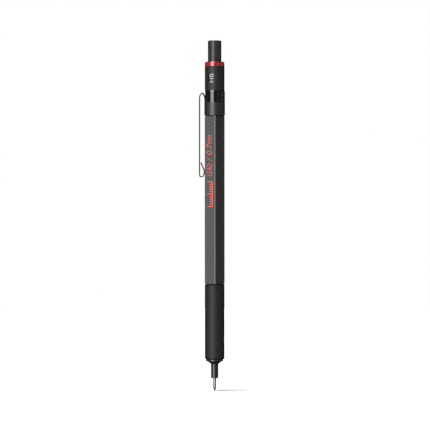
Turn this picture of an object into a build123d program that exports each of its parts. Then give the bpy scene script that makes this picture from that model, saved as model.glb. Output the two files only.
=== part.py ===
"""Drafting pencil with a fixed lead pipe, a push-button clutch feed, a lead-grade window and a spring clip.

Millimetres. +Z runs up the pencil's axis from the writing point (Z = 0) to the push button, and the clip
lies on the -X side. Every loose piece is its own solid, written to parts/NODE.step.
"""

import os
from math import cos, pi, radians, sin

from build123d import *

# ---- driving dimensions -------------------------------------------------------------------------------

total_length = 142.0

# heights along the axis, from the writing point upwards
pipe_end = 0.6
nose_tube_end = 5.0
cone_start = 10.8
flange_start = 11.87
grip_start = 12.6
grip_end = 42.95
band_start = 111.55
clip_ring_start = 116.8
clip_ring_end = 121.6
top_ring_start = 131.55
top_ring_end = 133.4

# outside radii
lead_radius = 0.35
pipe_radius = 0.62
nose_tube_radius = 1.50
flange_radius = 3.50
grip_radius = 4.02
hex_across_flats = 7.9
hex_edge_round = 0.3
band_radius = 4.18
clip_ring_radius = 4.15
grade_sleeve_radius = 4.00
top_ring_radius = 3.96
button_radius = 2.74

# fits
fixed_gap = 0.01          # pieces that are pressed or glued together
face_gap = 0.02           # faces that close on each other
sliding_gap = 0.05        # pieces that turn or slide on each other

# travel
press_travel = 3.5        # push button, from rest to its stop
ring_travel = 0.8         # chuck ring, until the nose stops it

# mechanism
lead_length = 60.0
nose_thread_radius = 2.95
nose_thread_end = 19.3
grip_thread_radius = 2.97
sleeve_radius = 2.45
sleeve_end = 44.0
sleeve_flange_radius = 2.90
spigot_start = 36.5       # lower end of the barrel, inside the grip
ring_stop = 17.1          # shoulder inside the nose that stops the chuck ring
sleeve_floor = 20.1       # partition that the chuck ring closes against
sleeve_floor_thick = 1.4
spring_chamber_radius = 1.95
head_front = 17.0         # front face of the chuck jaws
head_radius = 1.30
head_cone_start = 17.3
head_cone_end = 19.4
head_back_radius = 1.00
neck_radius = 0.88
jaw_root = 26.0           # where the three jaws flex from the chuck's stem
jaw_count = 3
jaw_slit = 0.25
stem_radius = 0.90
stem_end = 30.0
holder_flange_end = 31.2
tube_radius = 1.78
tube_bore = 1.45
tube_end = 128.5
collar_flange_start = 127.0
collar_flange_end = 129.0
collar_end = 137.0
collar_radius = 2.23
eraser_radius = 1.94
eraser_end = 139.0
barrel_bore = 3.10
spindle_bore = 2.79
spindle_radius = 3.05
drum_radius = 3.40

# clip: one strip of spring steel, seen from the side it is a tight loop, a long leg and a curl
strip_thick = 0.40
strip_root_x = -4.04      # centre of the strip's thickness where it leaves the band
strip_leg_x = -6.13
loop_top = 120.6
loop_height = 2.1
strip_width_top = 4.2
strip_width_end = 3.6
curl_bottom = 86.72
curl_end = (-5.54, 92.5)
tab_fillet = 1.5


# ---- helpers ------------------------------------------------------------------------------------------

def turned(*outline):
    """A solid of revolution about Z, from a closed outline of (radius, height) points."""
    profile = make_face(Plane.XZ * Polyline(*outline, close=True))
    return revolve(profile, Axis.Z)


def tube(inner, outer, low, high):
    """A plain tube about Z."""
    return turned((inner, low), (outer, low), (outer, high), (inner, high))


def rod(radius, low, high):
    """A plain round bar about Z."""
    return Pos(0, 0, (low + high) / 2) * Cylinder(radius, high - low)


def side_prism(sketch, depth):
    """Extrudes a sketch drawn in Y (across) and Z (up) to both sides along X."""
    return extrude(Plane.YZ * sketch, depth, both=True)


# ---- barrel and what is fixed to it --------------------------------------------------------------------

def make_barrel():
    """Hexagonal tube with a threaded spigot below for the grip and a round spigot above for the clip."""
    corner_radius = hex_across_flats / 2 / cos(radians(30))
    section = RegularPolygon(corner_radius, 6, rotation=90)
    body = extrude(Pos(0, 0, grip_end) * section, band_start - grip_end)
    body = fillet(body.edges().filter_by(Axis.Z), hex_edge_round)

    # both ends of the hexagon are turned down a little, which leaves a curved chamfer on each flat
    chamfer_radius, chamfer_high, reach = 4.00, 0.45, 5.0
    envelope = turned(
        (0, grip_end), (chamfer_radius, grip_end), (reach, grip_end + 2 * chamfer_high),
        (reach, band_start - 2 * chamfer_high), (chamfer_radius, band_start), (0, band_start),
    )
    body = body & envelope

    relief = 0.25
    lower_spigot = turned(
        (0, spigot_start), (grip_thread_radius - relief, spigot_start),
        (grip_thread_radius, spigot_start + relief), (grip_thread_radius, grip_end - 0.8),
        (grip_thread_radius - relief, grip_end - 0.8), (grip_thread_radius - relief, grip_end + 0.1),
        (0, grip_end + 0.1),
    )
    upper_spigot = rod(band_bore - sliding_gap, band_start - 0.1, clip_ring_end - ring_lip - sliding_gap)
    bore = turned(
        (0, spigot_start - 1), (sleeve_radius + 0.1, spigot_start - 1), (sleeve_radius + 0.1, sleeve_end + 0.5),
        (barrel_bore, sleeve_end + 1.1), (barrel_bore, clip_ring_end), (0, clip_ring_end),
    )
    return body + lower_spigot + upper_spigot - bore


def make_grip():
    """Metal sleeve that the fingers hold. Its outer wall is at the crest of the knurl."""
    ledge = spigot_start - 1.2
    edge = 0.2
    return turned(
        (grip_thread_radius, grip_start), (3.47, grip_start), (grip_radius, grip_start + 0.4),
        (grip_radius, grip_end - face_gap - edge), (grip_radius - edge, grip_end - face_gap),
        (grip_thread_radius + 0.03, grip_end - face_gap), (grip_thread_radius + 0.03, ledge),
        (sleeve_radius + 0.15, ledge), (sleeve_radius + 0.15, nose_thread_end + 0.7),
        (grip_thread_radius, nose_thread_end + 0.7),
    )


def make_clip_ring():
    """Bright ring above the clip band, with a flat and a pocket for the clip's root."""
    edge = 0.2
    ring = turned(
        (band_bore - 0.02, clip_ring_start + face_gap), (clip_ring_radius, clip_ring_start + face_gap),
        (clip_ring_radius, clip_ring_end - edge), (clip_ring_radius - edge, clip_ring_end),
        (barrel_bore, clip_ring_end), (barrel_bore, clip_ring_end - ring_lip),
        (band_bore - 0.02, clip_ring_end - ring_lip),
    )
    flat = Pos(-band_radius - 1.82, 0, clip_ring_end) * Box(4.4, 8, 20)
    pocket = tube(band_shell - face_gap, band_radius + 1, clip_ring_start - 1, clip_ring_end + 1)
    pocket = pocket & side_prism(tab_outline(sliding_gap), 20) & left_half()
    return ring - flat - pocket


def make_indicator_spindle():
    """Brass tube screwed into the barrel's top. It clamps the clip ring and carries the grade drum."""
    flange_end = clip_ring_end + 0.6
    stop = collar_flange_start - press_travel - face_gap
    return turned(
        (2.45, 112.5), (barrel_bore - fixed_gap, 112.5), (barrel_bore - fixed_gap, clip_ring_end + face_gap),
        (drum_radius, clip_ring_end + face_gap), (drum_radius, flange_end), (spindle_radius, flange_end),
        (spindle_radius, top_ring_start + 0.75), (spindle_bore, top_ring_start + 0.75), (spindle_bore, stop),
        (2.45, stop),
    )


def make_grade_drum():
    """Plastic drum, printed with the lead grades, fixed on the spindle."""
    low = clip_ring_end + 0.6 + face_gap
    return tube(spindle_radius + fixed_gap, drum_radius, low, top_ring_start - 0.05)


def make_top_ring():
    """Anodised ring pressed on the spindle's end. It keeps the grade sleeve on."""
    low, high = top_ring_start + face_gap, top_ring_end
    seat = top_ring_start + 0.75 + face_gap
    ring = turned(
        (spindle_radius + fixed_gap, low), (top_ring_radius, low), (top_ring_radius, high),
        (spindle_bore + fixed_gap, high), (spindle_bore + fixed_gap, seat), (spindle_radius + fixed_gap, seat),
    )
    rim = ring.edges().filter_by(GeomType.CIRCLE).sort_by(Axis.Z)[-2:].sort_by(SortBy.RADIUS)[-1]
    return fillet(rim, 0.6)


def make_mechanism_sleeve():
    """Brass housing of the clutch. Its flange is clamped between the grip and the barrel."""
    low = ring_stop + face_gap
    chamber = sleeve_floor + sleeve_floor_thick
    ledge = spigot_start - 1.2 + face_gap
    return turned(
        (1.80, low), (sleeve_radius, low), (sleeve_radius, ledge), (sleeve_flange_radius, ledge),
        (sleeve_flange_radius, spigot_start - face_gap), (sleeve_radius, spigot_start - face_gap),
        (sleeve_radius, sleeve_end), (spring_chamber_radius, sleeve_end), (spring_chamber_radius, chamber),
        (1.20, chamber), (1.20, sleeve_floor), (1.80, sleeve_floor),
    )


# ---- grade sleeve ---------------------------------------------------------------------------------------

window_angle = 26.0       # from -Y towards -X, about the axis
window_height = 4.8
window_width = 2.9
window_centre = 126.7


def make_grade_sleeve():
    """Turning sleeve with an oval window over the printed drum."""
    edge = 0.08
    low, high = clip_ring_end + sliding_gap, top_ring_start - 0.03
    inner, outer = drum_radius + sliding_gap, grade_sleeve_radius
    sleeve = turned(
        (inner, low), (outer - edge, low), (outer, low + edge),
        (outer, high - edge), (outer - edge, high), (inner, high),
    )
    slot = Plane.XZ * SlotOverall(window_height, window_width, rotation=90)
    cutter = Rot(0, 0, -window_angle) * Pos(0, 0, window_centre) * extrude(slot, 6)
    return sleeve - cutter


# ---- nose ------------------------------------------------------------------------------------------------

pipe_bore = 0.38
pipe_root_radius = 0.80   # the root pressed into the nose is thicker, flush with the nose's end
pipe_seat_end = 9.0       # the pipe's inner end, deep in the nose
lead_way = 0.42           # radius of the passage behind the pipe
retainer_start, retainer_end, retainer_radius = 9.42, 12.2, 0.95


def make_nose_cone():
    """Stepped nose with a threaded shank. It holds the lead pipe and the rubber retainer."""
    edge = 0.1
    chamber_floor, chamber_radius = 12.8, 1.55
    relief = 0.12
    thread_low = grip_start + 0.7
    flange_top = grip_start - face_gap
    return turned(
        (pipe_root_radius + fixed_gap, nose_tube_end), (nose_tube_radius - edge, nose_tube_end),
        (nose_tube_radius, nose_tube_end + edge), (nose_tube_radius, cone_start),
        (nose_tube_radius + 0.1, cone_start), (2.95, flange_start), (flange_radius - edge, flange_start),
        (flange_radius, flange_start + edge), (flange_radius, flange_top),
        (nose_thread_radius - relief, flange_top), (nose_thread_radius - relief, thread_low),
        (nose_thread_radius, thread_low), (nose_thread_radius, nose_thread_end - relief),
        (nose_thread_radius - relief, nose_thread_end), (sleeve_radius + sliding_gap, nose_thread_end),
        (sleeve_radius + sliding_gap, ring_stop), (chamber_radius, ring_stop),
        (chamber_radius, chamber_floor), (retainer_radius + fixed_gap, chamber_floor),
        (retainer_radius + fixed_gap, retainer_start - face_gap), (lead_way, retainer_start - face_gap),
        (lead_way, pipe_seat_end), (pipe_root_radius + fixed_gap, pipe_seat_end),
    )


def make_lead_pipe():
    """Fixed steel pipe that guides the lead, tapered at its end."""
    return turned(
        (pipe_bore, pipe_end), (0.45, pipe_end), (pipe_radius, pipe_end + 0.6),
        (pipe_radius, nose_tube_end), (pipe_root_radius, nose_tube_end),
        (pipe_root_radius, pipe_seat_end - face_gap), (pipe_bore, pipe_seat_end - face_gap),
    )


def make_lead_retainer():
    """Rubber bush that brakes the lead while the chuck goes back for a new grip."""
    return tube(lead_radius + fixed_gap, retainer_radius, retainer_start, retainer_end)


# ---- clutch ------------------------------------------------------------------------------------------------

def chuck_jaws():
    """The three gripping fingers of the split chuck."""
    grip_bore, clear_bore = lead_radius + fixed_gap, 0.5
    whole = turned(
        (grip_bore, head_front), (head_radius - 0.3, head_front), (head_radius, head_cone_start),
        (head_back_radius, head_cone_end), (neck_radius, head_cone_end + 0.15), (neck_radius, jaw_root),
        (clear_bore, jaw_root), (clear_bore, head_cone_end), (grip_bore, head_cone_end - 0.3),
    )
    height = jaw_root - head_front
    for k in range(jaw_count):
        slit_angle = 360 / jaw_count * (k + 0.5)
        slit = Pos(head_radius, 0, head_front + height / 2) * Box(2 * head_radius, jaw_slit, height + 1)
        whole = whole - Rot(0, 0, slit_angle) * slit
    facing = [(cos(2 * pi * k / jaw_count), sin(2 * pi * k / jaw_count)) for k in range(jaw_count)]
    return [max(whole.solids(), key=lambda s: s.center().X * x + s.center().Y * y) for x, y in facing]


def make_chuck_stem():
    """Rear end of the chuck, where the jaws join."""
    return tube(0.5, stem_radius, jaw_root + face_gap, stem_end)


def make_chuck_ring():
    """Brass ring that squeezes the jaws shut. Its bore follows the cone of their head."""
    low, high = ring_stop + ring_travel, sleeve_floor - face_gap
    gap = 0.015
    slope = (head_radius - head_back_radius) / (head_cone_end - head_cone_start)
    low_bore = head_radius - slope * (low - head_cone_start) + gap
    high_bore = head_back_radius + gap
    outer = 1.75
    return turned((low_bore, low), (outer, low), (outer, high), (high_bore, high), (high_bore, head_cone_end))


def make_chuck_holder():
    """Brass link between the chuck and the lead tube. The spring pushes on its flange."""
    funnel_end = holder_flange_end + 3.3
    plug = tube_bore - fixed_gap
    return turned(
        (stem_radius + fixed_gap, jaw_root + 0.4), (1.25, jaw_root + 0.4), (1.25, stem_end),
        (tube_radius, stem_end), (tube_radius, holder_flange_end), (plug, holder_flange_end),
        (plug, funnel_end), (1.2, funnel_end), (0.6, funnel_end - 1.2), (0.6, stem_end + face_gap),
        (stem_radius + fixed_gap, stem_end + face_gap),
    )


def make_chuck_spring():
    """Compression spring that draws the chuck back into its ring."""
    wire, mean_radius, turns = 0.17, 1.60, 8
    low = sleeve_floor + sleeve_floor_thick + wire + face_gap
    high = stem_end - wire - face_gap
    path = Pos(0, 0, low) * Helix(pitch=(high - low) / turns, height=high - low, radius=mean_radius)
    section = Plane(origin=path @ 0, z_dir=path % 0) * Circle(wire)
    return sweep(section, path=path, is_frenet=True)


# ---- lead tube, collar, eraser, button ----------------------------------------------------------------------

def make_lead_tube():
    """Long plastic tube that stores the spare leads."""
    return tube(tube_bore, tube_radius, holder_flange_end + face_gap, tube_end)


def make_eraser_collar():
    """Metal collar on top of the lead tube. It holds the eraser and carries the push button."""
    low, tube_seat, hole = 124.0, tube_radius + fixed_gap, 1.40
    socket_floor = 131.0
    return turned(
        (tube_seat, low), (2.20, low), (2.20, collar_flange_start), (2.60, collar_flange_start),
        (2.60, collar_flange_end), (collar_radius, collar_flange_end), (collar_radius, collar_end - 0.1),
        (collar_radius - 0.1, collar_end), (eraser_radius + fixed_gap, collar_end),
        (eraser_radius + fixed_gap, socket_floor), (hole, socket_floor), (hole, tube_end + face_gap),
        (tube_seat, tube_end + face_gap),
    )


def make_eraser():
    """Short round eraser under the button."""
    low = 131.0 + face_gap
    body = rod(eraser_radius, low, eraser_end)
    return fillet(body.edges().filter_by(GeomType.CIRCLE).sort_by(Axis.Z)[-1], 0.35)


def make_push_button():
    """Metal cap that covers the eraser and is pressed to feed the lead."""
    edge_in, edge_down = 0.35, 0.55
    low = collar_flange_end + face_gap
    ceiling = total_length - 0.9
    bore = collar_radius + face_gap
    return turned(
        (0, ceiling), (bore, ceiling), (bore, low), (button_radius - 0.1, low), (button_radius, low + 0.1),
        (button_radius, total_length - edge_down), (button_radius - edge_in, total_length), (0, total_length),
    )


def make_lead():
    """The stick of lead in use."""
    return rod(lead_radius, 0, lead_length)


def make_spare_leads():
    """Three spare sticks that lie in the lead tube."""
    spacing, low = 0.95, holder_flange_end + 3.8
    stick = rod(lead_radius, low, low + lead_length)
    sticks = [Rot(0, 0, 360 / 3 * k + 30) * Pos(spacing, 0, 0) * stick for k in range(3)]
    return Compound(children=sticks)


# ---- clip ------------------------------------------------------------------------------------------------------

band_bore = 3.72
band_shell = 3.80         # inner radius of the sheet where it rises over the clip ring
ring_lip = 0.6


def left_half():
    """Everything on the clip's side of the axis."""
    return Pos(-10, 0, total_length / 2) * Box(20, 20, total_length)


def tab_outline(grow=0.0):
    """Outline, in Y and Z, of the tab that rises from the band, with a fillet each side at its foot."""
    foot_half, foot_low = 4.3, clip_ring_start - 0.6
    half, high = strip_width_top / 2, clip_ring_start + 2.4
    points = [
        (-foot_half, foot_low), (foot_half, foot_low), (foot_half, clip_ring_start), (half, clip_ring_start),
        (half, high), (-half, high), (-half, clip_ring_start), (-foot_half, clip_ring_start),
    ]
    outline = make_face(Polyline(*points, close=True))
    inner_corners = outline.vertices().filter_by(
        lambda v: abs(abs(v.X) - half) < 0.01 and abs(v.Y - clip_ring_start) < 0.01
    )
    outline = fillet(inner_corners, tab_fillet)
    return offset(outline, grow) if grow else outline


def clip_strip():
    """The whole bent strip: up from the band, over the loop, down the leg and round the curl."""
    spring_line = loop_top - loop_height
    half_span = (strip_root_x - strip_leg_x) / 2
    rise = Line((strip_root_x, clip_ring_start - 3.0), (strip_root_x, spring_line))
    loop_centre = (strip_root_x - half_span, spring_line)
    loop = EllipticalCenterArc(loop_centre, half_span, loop_height, start_angle=0, arc_size=180)
    corners = [
        (strip_leg_x, spring_line), (strip_leg_x, curl_bottom), (-4.62, curl_bottom), (-4.14, 89.0), curl_end,
    ]
    leg = FilletPolyline(*corners, radius=[0.85, 0.75, 0.7])
    section = trace(Wire([*rise.edges(), *loop.edges(), *leg.edges()]), strip_thick)
    strip = extrude(Plane.XZ * section, strip_width_top / 2, both=True)
    end_low = curl_bottom - 1.0
    top_half, end_half = strip_width_top / 2, strip_width_end / 2
    taper = make_face(Polyline(
        (-top_half, loop_top + 1), (-top_half, loop_top - 2), (-end_half, end_low),
        (end_half, end_low), (top_half, loop_top - 2), (top_half, loop_top + 1), close=True,
    ))
    return strip & side_prism(taper, 20)


def split_clip():
    """The clip, cut at the top of its loop into the fixed band and the leg that flexes."""
    strip = clip_strip()
    loop_centre = (strip_root_x + strip_leg_x) / 2
    half_cut = 0.03
    fixed_zone = Pos(loop_centre + half_cut + 5, 0, loop_top) * Box(10, 20, 16)
    cut_zone = Pos(loop_centre - half_cut + 5, 0, loop_top) * Box(10, 20, 16)
    edge = 0.12
    band = turned(
        (band_bore, band_start + face_gap), (band_radius - edge, band_start + face_gap),
        (band_radius, band_start + face_gap + edge), (band_radius, clip_ring_start), (band_bore, clip_ring_start),
    )
    tab = tube(band_shell, band_radius, clip_ring_start - 0.5, clip_ring_end)
    tab = tab & side_prism(tab_outline(), 20) & left_half()
    return band + tab + (strip & fixed_zone), strip - cut_zone


# ---- write every piece ----------------------------------------------------------------------------------------

def make_all():
    """Every piece of the pencil, by node name."""
    clip_band, clip_arm = split_clip()
    parts = {
        "barrel": make_barrel(),
        "grip": make_grip(),
        "clip_ring": make_clip_ring(),
        "clip_band": clip_band,
        "clip_arm": clip_arm,
        "indicator_spindle": make_indicator_spindle(),
        "grade_drum": make_grade_drum(),
        "grade_sleeve": make_grade_sleeve(),
        "top_ring": make_top_ring(),
        "nose_cone": make_nose_cone(),
        "lead_pipe": make_lead_pipe(),
        "lead_retainer": make_lead_retainer(),
        "lead": make_lead(),
        "spare_leads": make_spare_leads(),
        "mechanism_sleeve": make_mechanism_sleeve(),
        "chuck_stem": make_chuck_stem(),
        "chuck_ring": make_chuck_ring(),
        "chuck_holder": make_chuck_holder(),
        "chuck_spring": make_chuck_spring(),
        "lead_tube": make_lead_tube(),
        "eraser_collar": make_eraser_collar(),
        "eraser": make_eraser(),
        "push_button": make_push_button(),
    }
    for number, jaw in enumerate(chuck_jaws(), start=1):
        parts[f"chuck_jaw_{number}"] = jaw
    return parts


os.makedirs("parts", exist_ok=True)
for name, shape in make_all().items():
    export_step(shape, f"parts/{name}.step")
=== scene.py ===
from math import cos, pi, radians, sin, sqrt, tan

import bmesh
import bpy
import numpy as np
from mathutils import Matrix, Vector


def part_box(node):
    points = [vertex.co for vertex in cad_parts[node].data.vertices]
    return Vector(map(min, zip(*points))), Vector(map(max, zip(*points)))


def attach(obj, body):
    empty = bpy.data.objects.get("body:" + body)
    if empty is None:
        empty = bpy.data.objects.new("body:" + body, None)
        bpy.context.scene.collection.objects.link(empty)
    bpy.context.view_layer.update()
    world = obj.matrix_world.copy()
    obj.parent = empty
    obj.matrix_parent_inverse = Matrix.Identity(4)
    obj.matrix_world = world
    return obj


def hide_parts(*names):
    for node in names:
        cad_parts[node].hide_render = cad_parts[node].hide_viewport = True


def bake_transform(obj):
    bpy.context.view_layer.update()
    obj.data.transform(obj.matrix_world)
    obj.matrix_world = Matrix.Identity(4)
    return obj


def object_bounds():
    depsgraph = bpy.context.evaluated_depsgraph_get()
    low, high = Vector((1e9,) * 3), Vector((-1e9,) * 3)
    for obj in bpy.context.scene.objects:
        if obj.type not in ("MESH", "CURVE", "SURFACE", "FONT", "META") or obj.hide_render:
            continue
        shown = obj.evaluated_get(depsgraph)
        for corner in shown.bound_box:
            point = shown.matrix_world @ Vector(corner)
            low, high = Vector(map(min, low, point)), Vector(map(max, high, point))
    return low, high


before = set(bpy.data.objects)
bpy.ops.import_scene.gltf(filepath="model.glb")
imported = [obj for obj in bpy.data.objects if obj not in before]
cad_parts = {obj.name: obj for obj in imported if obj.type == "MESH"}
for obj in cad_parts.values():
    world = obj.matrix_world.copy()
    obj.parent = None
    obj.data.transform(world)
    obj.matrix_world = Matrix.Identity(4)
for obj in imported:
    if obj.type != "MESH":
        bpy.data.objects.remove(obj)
cadLow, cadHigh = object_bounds()
scene = bpy.context.scene
mm = 0.001
mergeDistance = 2e-7  # metres
seam = 0.02  # millimetres between two faces that meet, as in the CAD
sharpAngle = 35  # degrees
print("frame loaded:", len(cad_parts), "CAD nodes")


# shapes: sizes are in millimetres from here to the studio, and the meshes are in metres

def extent(node):
    # a CAD node's lower end, upper end and reach along +X
    low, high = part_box(node)
    return round(low.z / mm, 3), round(high.z / mm, 3), round(high.x / mm, 3)


def smoothStep(value):
    # 3 v^2 - 2 v^3, with v kept between 0 and 1
    value = np.clip(value, 0, 1)
    return value * value * (3 - 2 * value)


def roundedOutline(corners, closed=True, steps=6, support=0.02):
    # a corner (x, y, r) becomes an arc of radius r, tangent to both its sides; one more point stands
    # just before and just after the arc, so that the flat sides stay flat when shaded smooth
    outline = []
    count = len(corners)
    for k, corner in enumerate(corners):
        point = np.array(corner[:2], float)
        if len(corner) < 3 or not closed and k in (0, count - 1):
            outline.append(point[None])
            continue
        radius = corner[2]
        back = np.array(corners[k - 1][:2]) - point
        on = np.array(corners[(k + 1) % count][:2]) - point
        back, on = back / np.linalg.norm(back), on / np.linalg.norm(on)
        half = np.arccos(np.clip(back @ on, -1, 1)) / 2
        reach = radius / tan(half)
        centre = point + (back + on) / np.linalg.norm(back + on) * radius / sin(half)
        first, last = point + back * reach - centre, point + on * reach - centre
        turn = pi - 2 * half
        share = np.linspace(0, 1, steps + 1)[:, None]
        arc = centre + (np.sin((1 - share) * turn) * first + np.sin(share * turn) * last) / sin(turn)
        outline += [(point + back * (reach + support))[None], arc, (point + on * (reach + support))[None]]
    return np.concatenate(outline)


def gridFaces(rows, columns, closeRows=False, closeColumns=True):
    # the four corners of every cell between neighbouring rows and columns of a grid
    i = np.arange(rows if closeRows else rows - 1)[:, None]
    j = np.arange(columns if closeColumns else columns - 1)[None]
    nextI, nextJ = (i + 1) % rows, (j + 1) % columns
    cells = [i * columns + j, i * columns + nextJ, nextI * columns + nextJ, nextI * columns + j]
    return np.stack(cells, -1).reshape(-1, 4)


def aroundAxis(outline, angle):
    # each outline point (r, z) goes to every angle a round the axis: x = r cos a, y = r sin a
    r, z = outline[:, :1], outline[:, 1:]
    return np.stack([r * np.cos(angle), r * np.sin(angle), z + 0 * angle], -1)


def turned(outline, columns=96, hollow=True):
    # the outline at evenly spaced angles; a hollow one closes on itself, the others end on the axis
    points = aroundAxis(outline, np.arange(columns) * 2 * pi / columns)
    return points, gridFaces(len(outline), columns, closeRows=hollow)


def cleanMesh(mesh, sharp):
    # merges doubles, turns every face outward, and shades smooth except over sharp edges
    work = bmesh.new()
    work.from_mesh(mesh)
    bmesh.ops.remove_doubles(work, verts=work.verts, dist=mergeDistance)
    bmesh.ops.dissolve_degenerate(work, edges=work.edges, dist=mergeDistance)
    bmesh.ops.recalc_face_normals(work, faces=work.faces)
    work.to_mesh(mesh)
    work.free()
    mesh.shade_smooth()
    mesh.set_sharp_from_angle(angle=radians(sharp))


def newObject(name, points, faces, material, marks=None, sharp=sharpAngle):
    # points in millimetres become a mesh in metres; marks are numbers stored on its points
    mesh = bpy.data.meshes.new(name)
    corners = faces if isinstance(faces, list) else faces.tolist()
    mesh.from_pydata((points.reshape(-1, 3) * mm).tolist(), [], corners)
    for markName, values in (marks or {}).items():
        attribute = mesh.attributes.new(markName, "FLOAT", "POINT")
        attribute.data.foreach_set("value", values.ravel().astype(np.float32))
    cleanMesh(mesh, sharp)
    mesh.materials.append(material)
    piece = bpy.data.objects.new(name, mesh)
    scene.collection.objects.link(piece)
    return piece


def joined(name, parts, material):
    # several pairs of points and faces become one object
    points = np.concatenate([part[0] for part in parts])
    starts = np.cumsum([0] + [len(part[0]) for part in parts])
    faces = [[corner + start for corner in face] for part, start in zip(parts, starts) for face in part[1]]
    return newObject(name, points, faces, material)


def giveWall(piece, wall, side, edge, segments):
    # a sheet gets its thickness, half each way for side 0 and all inwards for side -1, and soft edges
    solid = piece.modifiers.new("wall", "SOLIDIFY")
    solid.thickness = wall * mm
    solid.offset = side
    solid.use_even_offset = True
    soften = piece.modifiers.new("soften", "BEVEL")
    soften.width = edge * mm
    soften.segments = segments
    soften.limit_method = "ANGLE"
    soften.angle_limit = radians(50)  # the sheet's rims, not its bends
    bpy.context.view_layer.update()
    graph = bpy.context.evaluated_depsgraph_get()
    mesh = bpy.data.meshes.new_from_object(piece.evaluated_get(graph))
    piece.modifiers.clear()
    piece.data = mesh
    mesh.shade_smooth()
    mesh.set_sharp_from_angle(angle=radians(sharpAngle))


def place(piece, body, slot, *nodes):
    # the piece rides on its body and stands for the CAD nodes named
    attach(piece, body)
    if nodes:
        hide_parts(*nodes)


# materials

def colour(code):
    # sRGB hex to linear red, green, blue and alpha
    channels = np.array([int(code[k:k + 2], 16) / 255 for k in (1, 3, 5)])
    linear = np.where(channels <= 0.04045, channels / 12.92, ((channels + 0.055) / 1.055) ** 2.4)
    return (*linear.tolist(), 1.0)


def addNode(material, kind, inputs=None, **settings):
    # adds one node; an input is a value, or another node's output to link
    node = material.node_tree.nodes.new(kind)
    for key, value in settings.items():
        setattr(node, key, value)
    for key, value in (inputs or {}).items():
        if isinstance(value, bpy.types.NodeSocket):
            material.node_tree.links.new(value, node.inputs[key])
        else:
            node.inputs[key].default_value = value
    return node


def newMaterial(name, **values):
    # values go straight onto the shader's own sockets
    material = bpy.data.materials.new(name)
    material.use_nodes = True
    shader = material.node_tree.nodes["Principled BSDF"]
    for key, value in values.items():
        shader.inputs[key].default_value = value
    where = addNode(material, "ShaderNodeTexCoord").outputs["Object"]
    return material, shader, where


def perMetre(size):
    # noise scale whose features are about size millimetres across
    return 1 / (size * mm)


def surface(name, look, **values):
    # one finish: two close tones mixed by a cloudy noise, gloss that varies with a fine grain, and the
    # grain's height as bump. Lathe below 1 draws the grain out round the axis, as turning marks are.
    # A mark on the mesh, such as a rubbed edge, brings in a second tone and its gloss; on the barrel that
    # tone is wear and also a painted highlight along the edges. Sizes are in millimetres; real turning lines
    # and spray grain are finer than 0.05, so they are drawn coarser.
    material, shader, where = newMaterial(name, **values)
    lathe = look.get("lathe", 1.0)
    drawn = addNode(material, "ShaderNodeMapping", {"Vector": where, "Scale": (lathe, lathe, 1.0)})
    cloud = addNode(material, "ShaderNodeTexNoise", {
        "Vector": where, "Scale": perMetre(look["cloud"]), "Detail": 4.0, "Roughness": 0.55})
    grain = addNode(material, "ShaderNodeTexNoise", {
        "Vector": drawn.outputs[0], "Scale": perMetre(look["grain"]), "Detail": 2.0, "Roughness": 0.5})
    tone = addNode(material, "ShaderNodeMix", {
        0: cloud.outputs["Fac"], 6: colour(look["dark"]), 7: colour(look["light"])}, data_type="RGBA")
    gloss = addNode(material, "ShaderNodeMapRange", {
        "Value": grain.outputs["Fac"],
        "To Min": look["rough"] - look["spread"], "To Max": look["rough"] + look["spread"]})
    toneOut, glossOut = tone.outputs[2], gloss.outputs["Result"]
    if "mark" in look:
        mark = addNode(material, "ShaderNodeAttribute", attribute_name=look["mark"])
        amount = addNode(material, "ShaderNodeMapRange", {
            "Value": mark.outputs["Fac"], "To Max": look["wearAndHighlight"]})
        toneOut = addNode(material, "ShaderNodeMix", {
            0: amount.outputs["Result"], 6: toneOut, 7: colour(look["wearAndHighlightTone"])}, data_type="RGBA").outputs[2]
        glossOut = addNode(material, "ShaderNodeMix", {
            0: mark.outputs["Fac"], 2: glossOut, 3: look["wornRough"]}, data_type="FLOAT").outputs[0]
    bump = addNode(material, "ShaderNodeBump", {
        "Height": grain.outputs["Fac"], "Distance": look["depth"] * mm})
    material.node_tree.links.new(toneOut, shader.inputs["Base Color"])
    material.node_tree.links.new(glossOut, shader.inputs["Roughness"])
    material.node_tree.links.new(bump.outputs["Normal"], shader.inputs["Normal"])
    return material


# black lacquer sprayed on brass: soft wide highlights, a faint orange peel, and edges rubbed paler
# and painted paler still as a highlight; the clip's is thinner over steel, and the nose's is glossier,
# with lines from turning under it
barrelLacquer = surface("barrelLacquer", dict(
    light="#1a1a1a", dark="#151515", rough=0.45, spread=0.03, cloud=2.5, grain=0.35, depth=0.0012,
    mark="edgeWearAndHighlight", wearAndHighlightTone="#6c6c6b", wearAndHighlight=0.8, wornRough=0.3),
    IOR=1.5, **{"Specular IOR Level": 0.68})
clipLacquer = surface("clipLacquer", dict(
    light="#1c1c1d", dark="#171718", rough=0.42, spread=0.04, cloud=1.6, grain=0.3, depth=0.001), IOR=1.5)
noseLacquer = surface("noseLacquer", dict(
    light="#1a1a1b", dark="#151516", rough=0.32, spread=0.05, cloud=1.2, grain=0.22, depth=0.0012,
    lathe=0.12), IOR=1.5)

# the same lacquer over a cut knurl: the crests are polished by the fingers, the grooves stay dull
gripLacquer = surface("gripLacquer", dict(
    light="#141414", dark="#101010", rough=0.52, spread=0.04, cloud=2.0, grain=0.2, depth=0.001,
    mark="crest", wearAndHighlightTone="#2c2c2b", wearAndHighlight=0.6, wornRough=0.4),
    IOR=1.5, **{"Specular IOR Level": 0.22})

# anodised aluminium, dyed black, turned: fine lines round the axis and soft streaks of light
buttonAnodised = surface("buttonAnodised", dict(
    light="#242425", dark="#1d1d1e", rough=0.36, spread=0.05, cloud=1.5, grain=0.16, depth=0.0006,
    lathe=0.1), IOR=1.5, **{"Specular IOR Level": 0.32})

# polished black lacquer: almost no tone of its own, so it shows the lights as sharp streaks
ringGloss = surface("ringGloss", dict(
    light="#0a0a0b", dark="#060607", rough=0.18, spread=0.02, cloud=1.2, grain=0.5, depth=0.0002), IOR=1.5)

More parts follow.
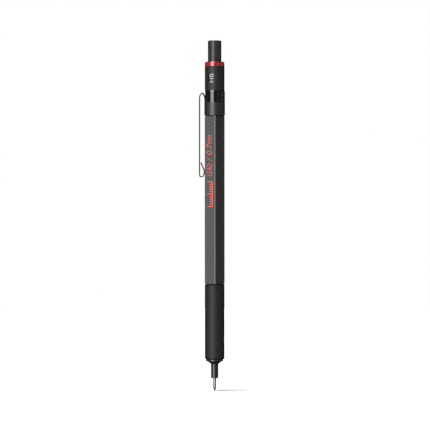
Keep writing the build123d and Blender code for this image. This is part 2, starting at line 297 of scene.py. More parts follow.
# moulded ABS with a spark-eroded texture: even, dull, with broad weak highlights; the drum's is darker
sleevePlastic = surface("sleevePlastic", dict(
    light="#1c1c1d", dark="#171718", rough=0.5, spread=0.06, cloud=1.5, grain=0.12, depth=0.003), IOR=1.52,
    **{"Specular IOR Level": 0.25})
drumPlastic = surface("drumPlastic", dict(
    light="#161617", dark="#101011", rough=0.55, spread=0.05, cloud=1.0, grain=0.12, depth=0.002), IOR=1.52)

# aluminium, turned, anodised and dyed red: a metal's tinted shine under a thin clear oxide layer
redAnodised = surface("redAnodised", dict(
    light="#a3201c", dark="#8f1a18", rough=0.3, spread=0.04, cloud=1.2, grain=0.12, depth=0.0012,
    lathe=0.08), Metallic=0.45, **{"Coat Weight": 1.0, "Coat Roughness": 0.08, "Coat IOR": 1.5})

# drawn stainless steel tube: a darker grey than the plated parts, with fine grinding lines round it
stainless = surface("stainless", dict(
    light="#8a8a89", dark="#787877", rough=0.36, spread=0.06, cloud=0.8, grain=0.08, depth=0.0012,
    lathe=0.15), Metallic=1.0)

# pressed graphite and polymer: dark grey with a dull metallic sheen
graphite = surface("graphite", dict(
    light="#1f1f21", dark="#151517", rough=0.5, spread=0.08, cloud=0.4, grain=0.05, depth=0.002),
    Metallic=0.35)

# turned brass: warm yellow, lathe lines, tarnish in soft clouds
brass = surface("brass", dict(
    light="#c9a25c", dark="#a9823f", rough=0.3, spread=0.08, cloud=2.0, grain=0.1, depth=0.002,
    lathe=0.1), Metallic=1.0)

# nickel plating over turned brass: paler and harder than steel, faintly warm
nickelPlate = surface("nickelPlate", dict(
    light="#c8c4ba", dark="#b3afa5", rough=0.22, spread=0.06, cloud=1.5, grain=0.1, depth=0.0015,
    lathe=0.1), Metallic=1.0)

# spring wire, drawn and oiled: grey steel with a slight blue cast
springSteel = surface("springSteel", dict(
    light="#9b9da1", dark="#85878c", rough=0.3, spread=0.05, cloud=0.8, grain=0.06, depth=0.001),
    Metallic=1.0)

# nitrile rubber: black, matt, faintly powdery
blackRubber = surface("blackRubber", dict(
    light="#1d1d1e", dark="#161617", rough=0.75, spread=0.06, cloud=0.6, grain=0.06, depth=0.003), IOR=1.52)

# moulded polyacetal tube: dark, waxy, smoother than the sleeve
tubePlastic = surface("tubePlastic", dict(
    light="#2a2a2d", dark="#222225", rough=0.4, spread=0.05, cloud=2.5, grain=0.15, depth=0.0015), IOR=1.48)

# plasticised vinyl: white, soft-looking, light scatters a little way in, graphite dust in clouds
eraserVinyl = surface("eraserVinyl", dict(
    light="#f2f1ec", dark="#d9d8d4", rough=0.6, spread=0.08, cloud=1.2, grain=0.1, depth=0.004), IOR=1.53,
    **{"Subsurface Weight": 0.25, "Subsurface Radius": (0.0006, 0.0005, 0.0004), "Subsurface Scale": 1.0})

# pad-printed inks: an even film, duller than the lacquer under it
redInk = surface("redInk", dict(
    light="#c9463a", dark="#b93d32", rough=0.45, spread=0.05, cloud=0.5, grain=0.08, depth=0.001), IOR=1.5,
    **{"Specular IOR Level": 0.3})
whiteInk = surface("whiteInk", dict(
    light="#a9a9a7", dark="#9c9c9a", rough=0.5, spread=0.05, cloud=0.5, grain=0.08, depth=0.001), IOR=1.5,
    **{"Specular IOR Level": 0.3})
print("materials made:", len(bpy.data.materials))


# barrel: a hexagon with rounded edges, both ends turned down, and a round spigot at each end

barrelSizes = dict(edgeRound=0.3, endRadius=4.00, chamferSlope=1.08 / 0.9, lowSpigot=2.97, lowEdge=0.25,
                   neck=2.72, neckLength=0.8, highSpigot=3.67, highSpigotEnd=120.95, highEdge=0.15,
                   bore=3.10, lowBore=2.55, boreStep=44.6, boreCone=0.6, rows=24, edgeMarkBeyond=1.05)


def makeBarrel(sizes):
    # the section's corners are arcs; down each column of points the end chamfer starts where the cone
    # r = endRadius + slope * depth meets that column's own distance from the axis; the edge mark, wear
    # and a painted highlight, is sin^2 across each corner's arc and none on the flats and spigots
    low, flat = extent("barrel")[::2]
    start, end = extent("grip")[1] + seam, extent("clip_band")[0] - seam
    across = flat / cos(pi / 6)
    corners = [(across * cos(pi / 6 + k * pi / 3), across * sin(pi / 6 + k * pi / 3), sizes["edgeRound"])
               for k in range(6)]
    section = roundedOutline(corners, steps=8, support=0.03)
    reach = np.hypot(section[:, 0], section[:, 1])
    unit = section / reach[:, None]
    depth = np.maximum(reach - sizes["endRadius"], 0) / sizes["chamferSlope"]
    turnedDown = np.minimum(reach, sizes["endRadius"])
    same = np.ones(len(reach))
    body = np.linspace(0, 1, sizes["rows"])[:, None]
    flats = start + depth + body * (end - start - 2 * depth)
    lowR, highR, highZ = sizes["lowSpigot"], sizes["highSpigot"], sizes["highSpigotEnd"]
    below = np.array([
        (sizes["lowBore"], low), (lowR - sizes["lowEdge"], low), (lowR, low + sizes["lowEdge"]),
        (lowR, start - sizes["neckLength"]), (sizes["neck"], start - sizes["neckLength"]),
        (sizes["neck"], start)])
    above = np.array([
        (highR, end), (highR, highZ - sizes["highEdge"]), (highR - sizes["highEdge"], highZ),
        (sizes["bore"], highZ), (sizes["bore"], sizes["boreStep"]),
        (sizes["lowBore"], sizes["boreStep"] - sizes["boreCone"])])
    radius = np.vstack([below[:, :1] * same, turnedDown, np.tile(reach, (len(body), 1)), turnedDown,
                        above[:, :1] * same])
    height = np.vstack([below[:, 1:] * same, start * same, flats, end * same, above[:, 1:] * same])
    points = np.stack([radius * unit[:, 0], radius * unit[:, 1], height], -1)
    onArc = np.tile(np.sin(np.linspace(0, pi, len(section) // 6)) ** 2, 6)
    # painted highlight: the edge mark is rubbed wear and also stands in for the light the rounded edges catch
    wearAndHighlight = onArc * (radius > flat * sizes["edgeMarkBeyond"])
    faces = gridFaces(*radius.shape, closeRows=True)
    return newObject("barrelShell", points, faces, barrelLacquer, marks={"edgeWearAndHighlight": wearAndHighlight}, sharp=28)


place(makeBarrel(barrelSizes), "body", "barrel_lacquer", "barrel")
print("barrel made")


# grip: a diamond knurl cut all round

gripSizes = dict(teeth=42, depth=0.13, frontRadius=3.47, frontHeight=0.4, rearEdge=0.2, plainFront=0.35,
                 plainRear=0.45, bore=2.97, rearBore=3.00, midBore=2.60, midStart=20.0, midEnd=35.3)


def makeGrip(sizes):
    # two sets of crossed grooves on a lattice of quarter pitches: with a = (i + j) / 4 and
    # b = (i - j) / 4, height = min(g(a), g(b)), g(t) = 1 - |2 frac(t) - 1|, and the radius is
    # crest - depth * (1 - height), which leaves a pyramid in every diamond; both ends fade to plain
    low, high, crest = extent("grip")
    columns = sizes["teeth"] * 4
    pitch = 2 * pi * crest / sizes["teeth"]
    first, last = low + sizes["frontHeight"], high - sizes["rearEdge"]
    count = int(round((last - first) / (pitch / 4)))
    i = np.arange(count + 1)[:, None]
    j = np.arange(columns)[None]
    ridge = [1 - np.abs(2 * np.mod(t / 4, 1) - 1) for t in (i + j, i - j)]
    z = first + (last - first) * i / count
    fade = smoothStep((z - first) / sizes["plainFront"]) * smoothStep((last - z) / sizes["plainRear"])
    height = np.minimum(*ridge)
    outer = crest - sizes["depth"] * (1 - height) * fade
    before = np.array([(sizes["bore"], sizes["midStart"]), (sizes["bore"], low), (sizes["frontRadius"], low)])
    after = np.array([
        (crest - sizes["rearEdge"], high), (sizes["rearBore"], high), (sizes["rearBore"], sizes["midEnd"]),
        (sizes["midBore"], sizes["midEnd"]), (sizes["midBore"], sizes["midStart"])])
    same = np.ones(columns)
    radius = np.vstack([before[:, :1] * same, outer, after[:, :1] * same])
    rise = np.vstack([before[:, 1:] * same, z * same, after[:, 1:] * same])
    crestMark = np.zeros(radius.shape)
    crestMark[len(before):-len(after)] = height * fade
    angle = j * 2 * pi / columns
    points = np.stack([radius * np.cos(angle), radius * np.sin(angle), rise], -1)
    faces = splitAlongRidges(gridFaces(*radius.shape, closeRows=True), columns, len(before))
    return newObject("gripKnurled", points, faces, gripLacquer, marks={"crest": crestMark}, sharp=180)


def splitAlongRidges(cells, columns, firstRow):
    # each cell becomes two triangles whose shared side lies along the groove or ridge that crosses it
    i = cells[:, 0] // columns - firstRow
    j = cells[:, 0] % columns
    rising = (i - j) % 4 == 0
    falling = (i + j + 1) % 4 == 0
    alternate = rising | (~falling & ((i + j) % 2 == 0))
    a, b, c, d = cells.T
    first = np.where(alternate[:, None], np.stack([a, b, c], -1), np.stack([a, b, d], -1))
    second = np.where(alternate[:, None], np.stack([a, c, d], -1), np.stack([b, c, d], -1))
    return np.concatenate([first, second])


place(makeGrip(gripSizes), "body", "grip_lacquer", "grip")
print("grip made")


# nose: a stepped cone with a threaded shank; the fixed pipe and the lead run through it

noseSizes = dict(tubeRadius=1.50, tubeTop=5.8, coneFoot=1.60, coneTop=6.87, coneHead=2.95, flangeTop=7.58,
                 neck=2.83, threadStart=8.3, threadEnd=0.12, threadRadius=2.95, threadDepth=0.28, pitch=0.75,
                 rowsPerTurn=12, grooveShape=0.7, runOut=0.5, runOutEnd=0.1, pipeSeat=0.81, seatEnd=4.0,
                 leadWay=0.42, bush=0.96, bushStart=4.4, chamber=1.55, chamberStart=7.8, mouth=2.5,
                 mouthStart=12.1, tubeEdge=0.1, shoulderEdge=0.12, flangeEdge=0.04, columns=120, near=0.01)


def makeNose(sizes):
    # a turned outline; over the shank the radius loses depth * w ^ grooveShape, with
    # w = (1 - cos(2 pi (z / pitch - a / 2 pi))) / 2, which winds one groove round it and runs out at
    # both ends
    low, high, shoulder = extent("nose_cone")
    radius = sizes["threadRadius"]
    threadLow = low + sizes["threadStart"]
    heights = np.arange(threadLow, high - sizes["threadEnd"], sizes["pitch"] / sizes["rowsPerTurn"])
    thread = [(radius, z) for z in heights]
    outline = roundedOutline([
        (sizes["pipeSeat"], low), (sizes["tubeRadius"], low, sizes["tubeEdge"]),
        (sizes["tubeRadius"], low + sizes["tubeTop"]), (sizes["coneFoot"], low + sizes["tubeTop"]),
        (sizes["coneHead"], low + sizes["coneTop"]),
        (shoulder, low + sizes["coneTop"], sizes["shoulderEdge"]),
        (shoulder, low + sizes["flangeTop"], sizes["flangeEdge"]), (sizes["neck"], low + sizes["flangeTop"]),
        (sizes["neck"], threadLow), *thread, (sizes["neck"], high), (sizes["mouth"], high),
        (sizes["mouth"], low + sizes["mouthStart"]), (sizes["chamber"], low + sizes["mouthStart"]),
        (sizes["chamber"], low + sizes["chamberStart"]), (sizes["bush"], low + sizes["chamberStart"]),
        (sizes["bush"], low + sizes["bushStart"]), (sizes["leadWay"], low + sizes["bushStart"]),
        (sizes["leadWay"], low + sizes["seatEnd"]), (sizes["pipeSeat"], low + sizes["seatEnd"]),
    ])
    points, faces = turned(outline, sizes["columns"])
    angle = np.arange(sizes["columns"]) / sizes["columns"]
    z = points[..., 2]
    onThread = (points[..., :2] ** 2).sum(-1) > (radius - sizes["near"]) ** 2
    onThread &= (z > threadLow - sizes["near"]) & (z < high)
    wave = 0.5 - 0.5 * np.cos(2 * pi * (z / sizes["pitch"] - angle))
    fadeIn = smoothStep((z - threadLow) / sizes["runOut"])
    fadeOut = smoothStep((high - sizes["runOutEnd"] - z) / sizes["runOut"])
    groove = wave ** sizes["grooveShape"] * (fadeIn * fadeOut)
    share = np.where(onThread, 1 - sizes["threadDepth"] / radius * groove, 1)
    points[..., :2] *= share[..., None]
    return newObject("noseCone", points, faces, noseLacquer, sharp=40)


pipeSizes = dict(bore=0.38, mouth=0.46, mouthEdge=0.03, taper=0.6, taperRound=0.4, radius=0.62,
                 rootHeight=4.4)


def makePipe(sizes):
    # a straight thin tube whose end is ground to a cone, its root thicker inside the nose
    low, high, root = extent("lead_pipe")
    shoulder = low + sizes["rootHeight"]
    outline = roundedOutline([
        (sizes["bore"], low), (sizes["mouth"], low, sizes["mouthEdge"]),
        (sizes["radius"], low + sizes["taper"], sizes["taperRound"]), (sizes["radius"], shoulder),
        (root, shoulder), (root, high), (sizes["bore"], high)], support=0.01)
    return newObject("leadPipe", *turned(outline, 64), stainless)


leadSizes = dict(wornEdge=0.14, farEdge=0.02)


def makeLead(sizes):
    # a turned stick, worn slightly round where it writes
    low, high, radius = extent("lead")
    outline = roundedOutline([(0, low), (radius, low, sizes["wornEdge"]), (radius, high, sizes["farEdge"]),
                              (0, high)], closed=False)
    return newObject("leadStick", *turned(outline, 48, hollow=False), graphite)


place(makeNose(noseSizes), "nose", "nose_black_chrome", "nose_cone")
place(makePipe(pipeSizes), "nose", "stainless", "lead_pipe")
place(makeLead(leadSizes), "lead_stick", "graphite", "lead")
print("nose, pipe and lead made")


# clip: one strip of spring steel, bent from the band that holds it

clipSizes = dict(sheet=0.40, rootX=-4.04, loopHeight=2.1, halfTop=2.1, halfEnd=1.8, taperStart=1.8,
                 taperPast=1.0, fillet=1.5, flattenOver=2.4, riseRows=10, loopRows=33, flatAfter=16,
                 columns=25, bandColumns=74, bandEdge=0.2, curlRound=0.85, edge=0.07,
                 curl=[(-4.62, 0.0, 0.75), (-4.14, 2.28, 0.7), (-5.54, 5.78)])


def clipHalfWidth(z, sizes, foot, taperEnd):
    # at its foot the tab narrows along a quarter circle, and below the loop the leg tapers evenly
    inFillet = np.clip(foot + sizes["fillet"] - z, 0, sizes["fillet"])
    widening = sizes["fillet"] - np.sqrt(np.maximum(sizes["fillet"] ** 2 - inFillet ** 2, 0))
    taperTop = foot + sizes["taperStart"]
    taper = np.clip((taperTop - z) / (taperTop - taperEnd), 0, 1)
    return sizes["halfTop"] + widening, sizes["halfTop"] - (sizes["halfTop"] - sizes["halfEnd"]) * taper


def makeClip(sizes):
    # the middle of the sheet: a cylinder for the band, then rows of points across the strip along its
    # path, which goes up, over half an ellipse, down the leg and round the curl; near the foot a row is
    # x = -sqrt(r^2 - y^2), the band's own curve, and a smooth step turns it into a straight line
    half = sizes["sheet"] / 2
    bandLow, outer = extent("clip_band")[::2]
    foot = extent("clip_ring")[0] - seam
    armLow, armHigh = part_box("clip_arm")
    legX, curlLow, loopTop = armLow.x / mm + half, armLow.z / mm + half, armHigh.z / mm - half
    middle = outer - half
    spring = loopTop - sizes["loopHeight"]
    span = (sizes["rootX"] - legX) / 2
    turn = np.linspace(0, pi / 2, sizes["riseRows"])[:, None]
    rise = np.hstack([sizes["rootX"] + 0 * turn, foot + sizes["fillet"] * (1 - np.cos(turn))])
    bend = np.linspace(0, pi, sizes["loopRows"])[:, None]
    loop = np.hstack([legX + span + span * np.cos(bend), spring + sizes["loopHeight"] * np.sin(bend)])
    curl = [(x, curlLow + z, *rest) for x, z, *rest in sizes["curl"]]
    leg = roundedOutline([(legX, spring), (legX, curlLow, sizes["curlRound"]), *curl], closed=False, steps=12)
    path = np.vstack([rise, loop, leg[1:]])
    wide, narrow = clipHalfWidth(path[:, 1], sizes, foot, curlLow - sizes["taperPast"])
    reach = np.where(np.arange(len(path)) < len(rise), wide, narrow)
    share = np.linspace(-1, 1, sizes["columns"])
    y = share * reach[:, None]
    flatness = smoothStep((path[:, 1:] - foot) / sizes["flattenOver"])
    flatness[len(rise) + sizes["flatAfter"]:] = 1
    curved = -np.sqrt(np.maximum(middle ** 2 - y ** 2, 0))
    x = path[:, :1] + (1 - flatness) * (curved - sizes["rootX"])
    strip = np.stack([x, y, path[:, 1:] + 0 * y], -1)
    tabAngle = np.arcsin(share * reach[0] / middle)
    rest = np.linspace(tabAngle[-1], 2 * pi + tabAngle[0], sizes["bandColumns"])[1:-1]
    angle = np.concatenate([tabAngle, rest])
    heights = np.array([bandLow, bandLow + sizes["bandEdge"], foot - sizes["bandEdge"], foot])[:, None]
    band = np.stack([-middle * np.cos(angle) + 0 * heights, middle * np.sin(angle) + 0 * heights,
                     heights + 0 * angle], -1)
    points = np.vstack([band.reshape(-1, 3), strip.reshape(-1, 3)])
    faces = np.vstack([gridFaces(len(heights), len(angle)),
                       gridFaces(len(path), len(share), closeColumns=False) + band.size // 3])
    clip = newObject("clip", points, faces, clipLacquer)
    giveWall(clip, sizes["sheet"], 0, sizes["edge"], 3)
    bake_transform(clip)
    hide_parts("clip_band", "clip_arm")


makeClip(clipSizes)
print("clip made")


# clip ring: polished, with a flat and a pocket behind the clip's tab

ringSizes = dict(flat=3.8, pocket=3.77, gap=0.05, bore=3.10, skirtBore=3.70, lip=0.6, chamfer=0.2,
                 support=0.02, pocketHigh=2.4, firstTurn=0.12, filletRows=9, pocketColumns=17, columns=72)


def makeClipRing(sizes):
    # rows of (height, radius, in the pocket's height); the columns beside the pocket slide sideways with
    # its outline, two columns share its edge, and the clip's side is cut flat at x = -flat
    low, high, radius = extent("clip_ring")
    foot = low - seam
    pocketTop = foot + sizes["pocketHigh"] + sizes["gap"]
    turn = np.linspace(sizes["firstTurn"], 1, sizes["filletRows"]) * pi / 2
    rise = foot + clipSizes["fillet"] * (1 - np.cos(turn))
    shoulder = high - sizes["chamfer"]
    outside = [(z, radius, True) for z in (low, *rise, pocketTop)] + [
        (pocketTop, radius, False), (shoulder - sizes["support"], radius, False),
        (shoulder, radius, False), (high, radius - sizes["chamfer"], False)]
    lip = high - sizes["lip"]
    inside = np.array([(sizes["bore"], high), (sizes["bore"], lip), (sizes["skirtBore"], lip),
                       (sizes["skirtBore"], low)])
    z, r, pocket = (np.array(column)[:, None] for column in zip(*outside))
    edge = clipHalfWidth(z, clipSizes, foot, 0)[0] + sizes["gap"]
    bare = sqrt(radius ** 2 - sizes["flat"] ** 2)
    bareShare = bare / (clipSizes["halfTop"] + sizes["gap"])
    even = np.linspace(-1, 1, sizes["pocketColumns"])
    share = np.sort(np.concatenate([even, [-bareShare, bareShare]]))
    yIn = share * edge
    behind = np.where(pocket, sizes["pocket"], r)
    depth = np.sqrt(np.maximum(behind ** 2 - yIn ** 2, 0))
    xIn = -np.where(pocket, depth, np.minimum(depth, sizes["flat"]))
    first = np.arcsin(edge / r)
    turnOut = first + np.linspace(0, 1, sizes["columns"]) * (2 * pi - 2 * first)
    xOut, yOut = -r * np.cos(turnOut), r * np.sin(turnOut)
    x, y = np.hstack([xIn, xOut]), np.hstack([yIn, yOut])
    outer = np.stack([x, y, z + 0 * x], -1)
    inner = aroundAxis(inside, np.arctan2(y[-1], x[-1]))
    points = np.concatenate([outer, inner])
    return newObject("clipRing", points, gridFaces(*points.shape[:2], closeRows=True), ringGloss, sharp=30)


place(makeClipRing(ringSizes), "body", "ring_black_chrome", "clip_ring")
print("clip ring made")


# grade sleeve: a plain turning sleeve with an oval window, over a drum printed with the grades

windowSizes = dict(angle=26.0, height=4.8, width=2.9, centre=5.05, squareness=6, wall=0.55, edge=0.07,
                   rings=34, side=32)


def rolled(points, radius, angle):
    # a point (across, height) of a flat sheet goes round the axis, starting at the window's own angle,
    # which is measured from the front, -Y, towards the clip, -X
    turn = angle - points[..., 0] / radius
    return np.stack([-radius * np.sin(turn), -radius * np.cos(turn), points[..., 1] + 0 * turn], -1)


def makeSleeve(sizes):
    # on the unrolled wall a ring of points is a share of the way from the window's oval to the sheet's
    # border; the oval is a circle whose upper and lower halves are pulled apart. The sheet is then
    # rolled round the axis and gets its wall inwards
    low, high, radius = extent("grade_sleeve")
    centre = low + sizes["centre"]
    turn = np.arange(4 * sizes["side"]) * pi / (2 * sizes["side"]) - pi / 4
    straight = (sizes["height"] - sizes["width"]) / 2
    bow = sizes["width"] / 2
    pulled = straight * np.clip(sizes["squareness"] * np.sin(turn), -1, 1)
    oval = np.stack([bow * np.cos(turn), centre + bow * np.sin(turn) + pulled], -1)
    share = np.arange(sizes["side"]) / sizes["side"]
    far, tall = pi * radius, high - low
    level = 0 * share
    across = np.concatenate([far + level, far - 2 * far * share, -far + level, -far + 2 * far * share])
    up = np.concatenate([low + tall * share, high + level, high - tall * share, low + level])
    border = np.stack([across, up], -1)
    ring = np.linspace(0, 1, sizes["rings"])[:, None, None]
    sheet = oval + ring * (border - oval)
    points = rolled(sheet, radius, radians(sizes["angle"]))
    sleeve = newObject("gradeSleeve", points, gridFaces(*sheet.shape[:2]), sleevePlastic)
    giveWall(sleeve, sizes["wall"], -1, sizes["edge"], 2)
    return sleeve


drumSizes = dict(seat=0.34, edge=0.06)


def makeDrum(sizes):
    # a turned tube with softened ends, sunk into the spindle by its seat
    low, high, radius = extent("grade_drum")
    inner = extent("indicator_spindle")[2] - sizes["seat"]
    outline = roundedOutline([(inner, low), (radius, low, sizes["edge"]), (radius, high, sizes["edge"]),
                              (inner, high)])
    return newObject("gradeDrum", *turned(outline, 120), drumPlastic)


# lettering: text becomes a thin solid mesh, then each point moves onto its surface

letterSizes = dict(capHeight=0.682, thin=0.014, strip=0.3, weld=1e-5)


def lettering(text, length, height, slant=0.0, thick=0.01, bends=True):
    # the text's outline, each edge moved in by thin, stretched to its length and cap height; where it
    # has to bend it is cut into strips
    curve = bpy.data.curves.new("lettering", "FONT")
    curve.body = text
    curve.size = 1.0
    curve.extrude = 0.5
    curve.offset = -letterSizes["thin"]
    source = bpy.data.objects.new("lettering", curve)
    scene.collection.objects.link(source)
    bpy.context.view_layer.update()
    mesh = bpy.data.meshes.new_from_object(source.evaluated_get(bpy.context.evaluated_depsgraph_get()))
    bpy.data.objects.remove(source)
    work = bmesh.new()
    work.from_mesh(mesh)
    bmesh.ops.remove_doubles(work, verts=work.verts, dist=letterSizes["weld"])
    top = letterSizes["capHeight"]
    strip = letterSizes["strip"]
    cuts = np.arange(strip, height, strip) / height * top if bends else []
    for level in cuts:
        bmesh.ops.bisect_plane(work, geom=[*work.verts, *work.edges, *work.faces],
                               plane_co=(0, level, 0), plane_no=(0, 1, 0))
    work.verts.index_update()
    points = np.array([vert.co for vert in work.verts])
    faces = [[vert.index for vert in face.verts] for face in work.faces]
    work.free()
    bpy.data.meshes.remove(mesh)
    points[:, 0] = (points[:, 0] - points[:, 0].min()) / np.ptp(points[:, 0]) * length
    points[:, 1] *= height / top
    points[:, 0] += slant * points[:, 1]
    points[:, 2] *= thick
    return points, faces


labelSizes = dict(grades=["HB", "F", "H", "2H", "3H", "3B", "2B", "B"], height=1.75, perLetter=1.75,
                  centre=4.5, thick=0.02)


def makeLabels(sizes):
    # the grades stand round the drum and read upwards: along the text is up the drum, and up the text
    # is round it, towards the clip
    low, radius = extent("grade_drum")[::2]
    parts = []
    for k, grade in enumerate(sizes["grades"]):
        length = sizes["perLetter"] * len(grade)
        points, faces = lettering(grade, length, sizes["height"], thick=sizes["thick"])
        facing = radians(windowSizes["angle"] + 360 / len(sizes["grades"]) * k)
        turn = facing + (points[:, 1] - sizes["height"] / 2) / radius
        reach = radius + points[:, 2]
        z = low + sizes["centre"] + points[:, 0] - length / 2
        parts.append((np.stack([-reach * np.sin(turn), -reach * np.cos(turn), z], -1), faces))
    return joined("gradeLabels", parts, whiteInk)


place(makeSleeve(windowSizes), "window", "sleeve_black_plastic", "grade_sleeve")
place(makeDrum(drumSizes), "body", "drum_print", "grade_drum")
place(makeLabels(labelSizes), "body", "drum_print")
print("grade sleeve and drum made")


# the printed marks on the barrel's face beside the clip, all reading upwards

faceSizes = dict(turn=30.0, foot=0.85, slant=0.2, thick=0.008, scaleStart=74.5, scaleStep=1.0, marks=11,
                 longEvery=5, tickWide=0.34, shortTick=1.1, longTick=2.1, ruleWide=0.3,
                 texts=[("LEAD", 86.9, 4.7, 2.45), ("/", 92.9, 1.0, 2.45), ("0.7", 95.4, 4.1, 2.45),
                        ("mm", 99.9, 3.4, 2.75)])


def onFace(points, sizes, height):
    # along the text is up the barrel, up the text is across the face towards the clip
    turn = radians(sizes["turn"])
    normal = np.array([-sin(turn), -cos(turn), 0])
    across = np.array([cos(turn), -sin(turn), 0])
    flat = extent("barrel")[2]
    return (normal * (flat + points[:, 2:]) + across * (sizes["foot"] - points[:, 1:2])
            + np.array([0, 0, 1]) * (height + points[:, :1]))


def printedBar(start, end, low, high, thick):
    # a thin solid bar: start to end along the text, low to high up the text
    x, y, z = np.meshgrid([start, end], [low, high], [-thick / 2, thick / 2], indexing="ij")
    faces = [[0, 1, 3, 2], [4, 6, 7, 5], [0, 4, 5, 1], [2, 3, 7, 6], [0, 2, 6, 4], [1, 5, 7, 3]]
    return np.stack([x, y, z], -1).reshape(-1, 3), faces


def makeFaceMarks(sizes):
    # a scale in millimetres, then the lead's size; a text is (words, height, length, cap height)
    parts = []
    for k in range(sizes["marks"]):
        tall = sizes["longTick"] if k % sizes["longEvery"] == 0 else sizes["shortTick"]
        bar = printedBar(0, sizes["tickWide"], 0, tall, sizes["thick"])
        parts.append((onFace(bar[0], sizes, sizes["scaleStart"] + k * sizes["scaleStep"]), bar[1]))
    ruleLong = (sizes["marks"] - 1) * sizes["scaleStep"] + sizes["tickWide"]
    rule = printedBar(0, ruleLong, -sizes["ruleWide"], 0, sizes["thick"])
    parts.append((onFace(rule[0], sizes, sizes["scaleStart"]), rule[1]))
    for text, height, length, cap in sizes["texts"]:
        points, faces = lettering(text, length, cap, sizes["slant"], sizes["thick"], bends=False)
        parts.append((onFace(points, sizes, height), faces))
    return joined("faceMarks", parts, redInk)


place(makeFaceMarks(faceSizes), "body", "barrel_lacquer")
print("printed marks made")


# top ring, push button, and the eraser in its collar under the button

topRingSizes = dict(shoulder=0.6, bore=2.80, boreEdge=0.06, seatHeight=0.77, seatRadius=3.06, lowEdge=0.05)


def makeTopRing(sizes):
    # a turned ring, its upper rim well rounded
    low, high, radius = extent("top_ring")
    seat = low + sizes["seatHeight"]
    outline = roundedOutline([
        (sizes["seatRadius"], low), (radius, low, sizes["lowEdge"]), (radius, high, sizes["shoulder"]),
        (sizes["bore"], high, sizes["boreEdge"]), (sizes["bore"], seat), (sizes["seatRadius"], seat)],
        steps=10)
    return newObject("redRing", *turned(outline, 128), redAnodised)


buttonSizes = dict(round=0.45, bore=2.25, boreRound=0.2, roof=0.9, lowEdge=0.08)


def makeButton(sizes):
    # a turned cap, open below
    low, high, radius = extent("push_button")
    roof = high - sizes["roof"]
    outline = roundedOutline([
        (0, roof), (sizes["bore"], roof, sizes["boreRound"]), (sizes["bore"], low),
        (radius, low, sizes["lowEdge"]), (radius, high, sizes["round"]), (0, high)], closed=False, steps=10)
    return newObject("pushButton", *turned(outline, 128, hollow=False), buttonAnodised)


collarSizes = dict(foot=2.20, footEdge=0.05, flangeStart=3.0, flange=2.60, flangeLowEdge=0.06,
                   flangeHighEdge=0.1, flangeEnd=5.0, socket=2.23, socketEdge=0.08, seat=1.95, floor=7.0,
                   hole=1.4, bore=1.79, boreEnd=4.52)


def makeCollar(sizes):
    # a turned metal collar in three steps, with the eraser's seat above and the lead tube's below
    low, high = extent("eraser_collar")[:2]
    floor, boreEnd = low + sizes["floor"], low + sizes["boreEnd"]
    flangeLow, flangeHigh = low + sizes["flangeStart"], low + sizes["flangeEnd"]
    outline = roundedOutline([
        (sizes["bore"], low), (sizes["foot"], low, sizes["footEdge"]), (sizes["foot"], flangeLow),
        (sizes["flange"], flangeLow, sizes["flangeLowEdge"]),
        (sizes["flange"], flangeHigh, sizes["flangeHighEdge"]), (sizes["socket"], flangeHigh),
        (sizes["socket"], high, sizes["socketEdge"]), (sizes["seat"], high), (sizes["seat"], floor),
        (sizes["hole"], floor), (sizes["hole"], boreEnd), (sizes["bore"], boreEnd)])
    return newObject("eraserCollar", *turned(outline), nickelPlate)


eraserSizes = dict(wornEdge=0.45, lowEdge=0.05)


def makeEraser(sizes):
    # a turned stick, its top edge worn
    low, high, radius = extent("eraser")
    outline = roundedOutline([(0, low), (radius, low, sizes["lowEdge"]), (radius, high, sizes["wornEdge"]),
                              (0, high)], closed=False, steps=10)
    return newObject("eraserStick", *turned(outline, hollow=False), eraserVinyl)


place(makeTopRing(topRingSizes), "body", "red_anodised", "top_ring")
place(makeButton(buttonSizes), "button", "button_lacquer", "push_button")
place(makeCollar(collarSizes), "feed", "nickel_brass", "eraser_collar")
place(makeEraser(eraserSizes), "feed", "eraser_vinyl", "eraser")
print("top made")


# the clutch and the store inside keep their CAD shapes

innerFinish = {
    "indicator_spindle": brass, "mechanism_sleeve": brass, "chuck_stem": brass, "chuck_jaw_1": brass,
    "chuck_jaw_2": brass, "chuck_jaw_3": brass, "chuck_ring": brass, "chuck_holder": brass,
    "chuck_spring": springSteel, "lead_tube": tubePlastic, "lead_retainer": blackRubber,
    "spare_leads": graphite,
}
for node, material in innerFinish.items():
    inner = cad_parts[node]
    if not inner.material_slots:
        inner.data.materials.append(material)
    for holder in inner.material_slots:
        holder.material = material
print("inner pieces finished:", len(innerFinish))


# studio: a white floor and backdrop, tall soft lights round the pencil and a broad sun high on its left;
# a soft light is (name, turn in degrees from the front, width, radiance), and sizes are in metres

studio = dict(floorSize=6.0, paper="#f4f4f4", floorGlow=0.02, backAway=1.0, backWide=1.8, backLow=-0.8,
              backHigh=0.9, backGlow=1.0, boxAway=0.6, boxTall=0.7,
              boxes=[("keyLight", -31.0, 0.36, 8.0), ("sideLight", -92.0, 0.36, 0.15),
                     ("rightLight", 92.0, 0.36, 0.4), ("fillLight", 40.0, 0.5, 0.27)],
              sunTurn=-88.0, sunUp=76.0, sunPower=3.7, sunSize=24.0)


def plainMaterial(name, code, glow):
    # a matt surface that also glows
    material = bpy.data.materials.new(name)
    material.use_nodes = True
    shader = material.node_tree.nodes["Principled BSDF"]
    shader.inputs["Base Color"].default_value = colour(code)
    shader.inputs["Roughness"].default_value = 1.0
    shader.inputs["Specular IOR Level"].default_value = 0.0
    shader.inputs["Emission Color"].default_value = (1, 1, 1, 1)
    shader.inputs["Emission Strength"].default_value = glow
    return material


def makePlane(name, corners, material):
    # one flat face, which casts no shadow and shows in no reflection
    mesh = bpy.data.meshes.new(name)
    mesh.from_pydata(corners, [], [(0, 1, 2, 3)])
    mesh.materials.append(material)
    plane = bpy.data.objects.new(name, mesh)
    scene.collection.objects.link(plane)
    plane.visible_glossy = False
    plane.visible_shadow = False


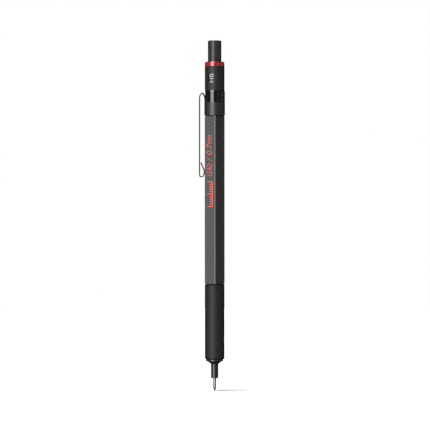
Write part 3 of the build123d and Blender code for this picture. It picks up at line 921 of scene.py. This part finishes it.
def makeSoftbox(name, turn, away, wide, tall, radiance):
    # an area light of that radiance faces the pencil's middle; turn is from the front towards +X
    light = bpy.data.lights.new(name, "AREA")
    light.shape = "RECTANGLE"
    light.size = wide
    light.size_y = tall
    light.energy = radiance * pi * wide * tall
    box = bpy.data.objects.new(name, light)
    angle = radians(turn)
    box.location = (away * sin(angle), -away * cos(angle), cadHigh.z / 2)
    box.rotation_euler = (pi / 2, 0, angle)
    box.visible_camera = False
    scene.collection.objects.link(box)


def makeStudio(sizes):
    # the world is white for the camera alone, and gives no light
    half, back, side = sizes["floorSize"] / 2, sizes["backAway"], sizes["backWide"] / 2
    low, high = sizes["backLow"], sizes["backHigh"]
    makePlane("floor", [(-half, -half, 0), (half, -half, 0), (half, half, 0), (-half, half, 0)],
              plainMaterial("floorPaper", sizes["paper"], sizes["floorGlow"]))
    makePlane("backdrop", [(-side, back, low), (side, back, low), (side, back, high), (-side, back, high)],
              plainMaterial("backdropPaper", "#000000", sizes["backGlow"]))
    for name, turn, wide, radiance in sizes["boxes"]:
        makeSoftbox(name, turn, sizes["boxAway"], wide, sizes["boxTall"], radiance)
    sun = bpy.data.lights.new("sun", "SUN")
    sun.energy = sizes["sunPower"]
    sun.angle = radians(sizes["sunSize"])
    lamp = bpy.data.objects.new("sun", sun)
    lamp.rotation_euler = (pi / 2 - radians(sizes["sunUp"]), 0, radians(sizes["sunTurn"]))
    scene.collection.objects.link(lamp)
    world = bpy.data.worlds.new("studioWorld")
    scene.world = world
    world.use_nodes = True
    sky = world.node_tree.nodes["Background"]
    sky.inputs["Color"].default_value = (1, 1, 1, 1)
    seen = addNode(world, "ShaderNodeLightPath")
    world.node_tree.links.new(seen.outputs["Is Camera Ray"], sky.inputs["Strength"])


# camera: level with the pencil's middle, far off, a little to its left, sizes in metres

cameraSizes = dict(turn=-2.2, away=1.15, frame=0.1746, height=0.0712, aside=0.000142, sensorWidth=36.0)


def makeCamera(sizes):
    # the lens takes in a width of frame at the pencil's distance; the sensor is in its usual millimetres
    data = bpy.data.cameras.new("camera")
    data.sensor_width = sizes["sensorWidth"]
    data.lens = data.sensor_width * sizes["away"] / sizes["frame"]
    camera = bpy.data.objects.new("camera", data)
    angle = radians(sizes["turn"])
    camera.location = (sizes["away"] * sin(angle) + sizes["aside"] * cos(angle),
                       -sizes["away"] * cos(angle) + sizes["aside"] * sin(angle), sizes["height"])
    camera.rotation_euler = (pi / 2, 0, angle)
    scene.collection.objects.link(camera)
    scene.camera = camera


makeStudio(studio)
makeCamera(cameraSizes)
scene.view_settings.view_transform = "Standard"
print("studio and camera made")
